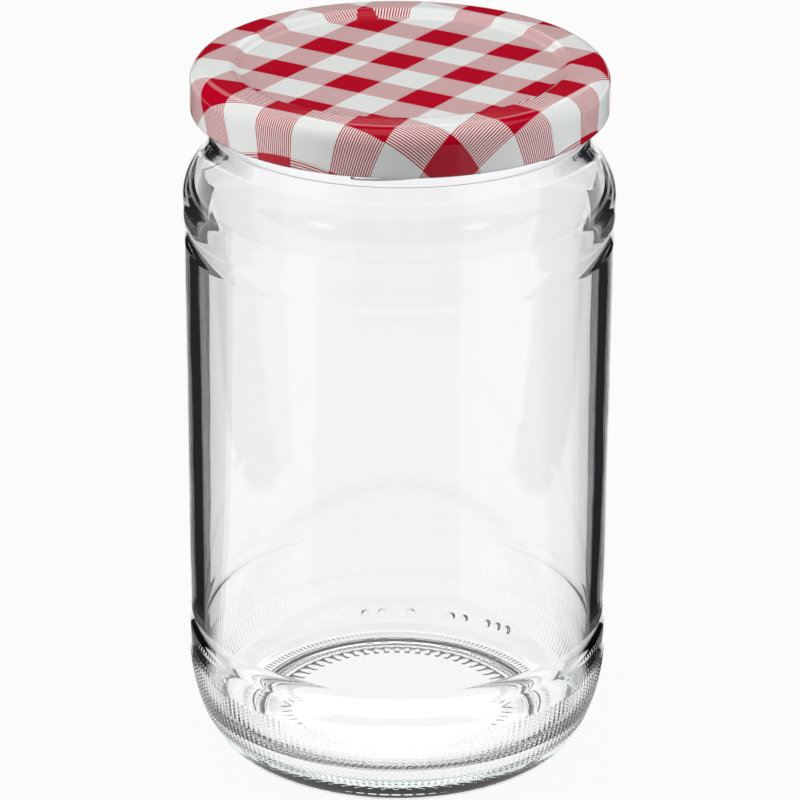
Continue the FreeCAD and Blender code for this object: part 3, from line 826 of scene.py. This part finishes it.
def white_table_material():
    """White table that is seen as white, directly and in glass, and still takes a faint shadow."""
    shader = Shader("white_table")
    path = shader.node("ShaderNodeLightPath").outputs
    in_glass = shader.math("MAXIMUM", path["Is Glossy Ray"], path["Is Transmission Ray"])
    seen = shader.math("MAXIMUM", path["Is Camera Ray"], in_glass)
    matt = shader.node("ShaderNodeBsdfDiffuse", [("Color", TABLE_TONE)]).outputs[0]
    glow = shader.node("ShaderNodeEmission", [("Color", (1, 1, 1, 1)), ("Strength", 1.0)]).outputs[0]
    shaded = shader.node("ShaderNodeMixShader", [("Fac", TABLE_SHADE), (1, glow), (2, matt)]).outputs[0]
    return shader.surface(shader.node("ShaderNodeMixShader", [("Fac", seen), (1, matt), (2, shaded)]))


def card_material(tone):
    """Matt card of one tone."""
    shader = Shader(tone + "_card")
    level = CARD_TONES[tone]
    colour = (level, level, level * CARD_BLUE, 1)
    return shader.surface(shader.node("ShaderNodeBsdfDiffuse", [("Color", colour)]))


def sector_card(name, middle, near, start, end, level, material):
    """A card that lies on the table, a stretch of a ring, which only the jar shows."""
    inner, outer = [], []
    for side in range(CARD_SIDES + 1):
        angle = math.radians(start + (end - start) * side / CARD_SIDES)
        inner.append((middle + near * math.sin(angle), near * math.cos(angle), level))
        outer.append((middle + CARD_REACH * math.sin(angle), CARD_REACH * math.cos(angle), level))
    hide_from(sheet(name, inner + outer[::-1], material), "camera", "shadow", "diffuse")


def build_sheets():
    """The white table, its cards, and a dark ceiling that is seen only through the glass."""
    level_square("table", TABLE_REACH, 0, white_table_material())
    materials = {tone: card_material(tone) for tone in CARD_TONES}
    for name, middle, near, start, end, level, tone in CARDS:
        sector_card(name, middle, near, start, end, level, materials[tone])
    ceiling = level_square("dark_ceiling", CEILING_REACH, CEILING_HEIGHT, materials["black"])
    hide_from(ceiling, "camera", "glossy", "shadow", "diffuse")


def build_lamps():
    """Two soft lamps that the jar mirrors, and two side lamps that it doesn't."""
    area_lamp("back_lamp", (0.0, 1.5, 1.03), JAR_TOP, (1.4, 0.36), 2.3)
    area_lamp("top_lamp", (0.0, 0.0, 1.25), JAR_TOP, (1.6, 0.9), 5.2)
    left = area_lamp("left_lamp", (-0.95, -0.2, 0.55), JAR_MIDDLE, (0.4, 0.9), 8.4)
    right = area_lamp("right_lamp", (0.95, -0.15, 0.6), JAR_MIDDLE, (0.4, 0.9), 7.4, COOL_WHITE)
    for lamp in (left, right):
        hide_from(lamp, "glossy", "transmission")


def build_room():
    """The room: white to the eye and through glass, dim as light, nearly dark in gloss."""
    world = bpy.data.worlds.new("dim_room")
    bpy.context.scene.world = world
    world.use_nodes = True
    tree = world.node_tree
    path = add_node(tree, "ShaderNodeLightPath").outputs
    level = add_node(tree, "ShaderNodeMapRange", [
        ("Value", path["Is Glossy Ray"]), ("To Min", ROOM_LEVEL), ("To Max", ROOM_GLOSS)])
    seen = add_node(tree, "ShaderNodeMath", [(0, path["Is Camera Ray"]), (1, path["Is Transmission Ray"])],
                    operation="MAXIMUM")
    strength = add_node(tree, "ShaderNodeMath", [(0, level.outputs["Result"]), (1, seen.outputs[0])],
                        operation="MAXIMUM")
    back = tree.nodes["Background"]
    back.inputs["Color"].default_value = (1, 1, 1, 1)
    tree.links.new(strength.outputs[0], back.inputs["Strength"])


def build_camera():
    """The camera looks down on the jar from the front."""
    data = bpy.data.cameras.new("camera")
    data.sensor_width = SENSOR
    data.lens = LENS
    data.shift_x = LENS_SHIFT
    data.clip_start, data.clip_end = NEAREST, FARTHEST
    camera = bpy.data.objects.new("camera", data)
    ahead = Vector((0, math.cos(EYE_TILT), -math.sin(EYE_TILT)))
    level, upright = Vector((1, 0, 0)), Vector((0, math.sin(EYE_TILT), math.cos(EYE_TILT)))
    right = math.cos(EYE_ROLL) * level + math.sin(EYE_ROLL) * upright
    up = math.cos(EYE_ROLL) * upright - math.sin(EYE_ROLL) * level
    place = Vector((0, 0, EYE_HEIGHT)) - EYE_DISTANCE * ahead
    camera.matrix_world = Matrix((
        (right.x, up.x, -ahead.x, place.x),
        (right.y, up.y, -ahead.y, place.y),
        (right.z, up.z, -ahead.z, place.z),
        (0, 0, 0, 1)))
    bpy.context.scene.collection.objects.link(camera)
    bpy.context.scene.camera = camera


def main():
    """Builds the jar and its studio."""
    glass = glass_material()
    inside = inside_lacquer_material()
    build_glass(glass)
    build_threads(glass)
    build_lid(printed_material(), inside)
    build_lugs(inside)
    dress_ring()
    build_sheets()
    build_lamps()
    build_room()
    build_camera()
    bpy.context.scene.view_settings.view_transform = "Standard"


main()
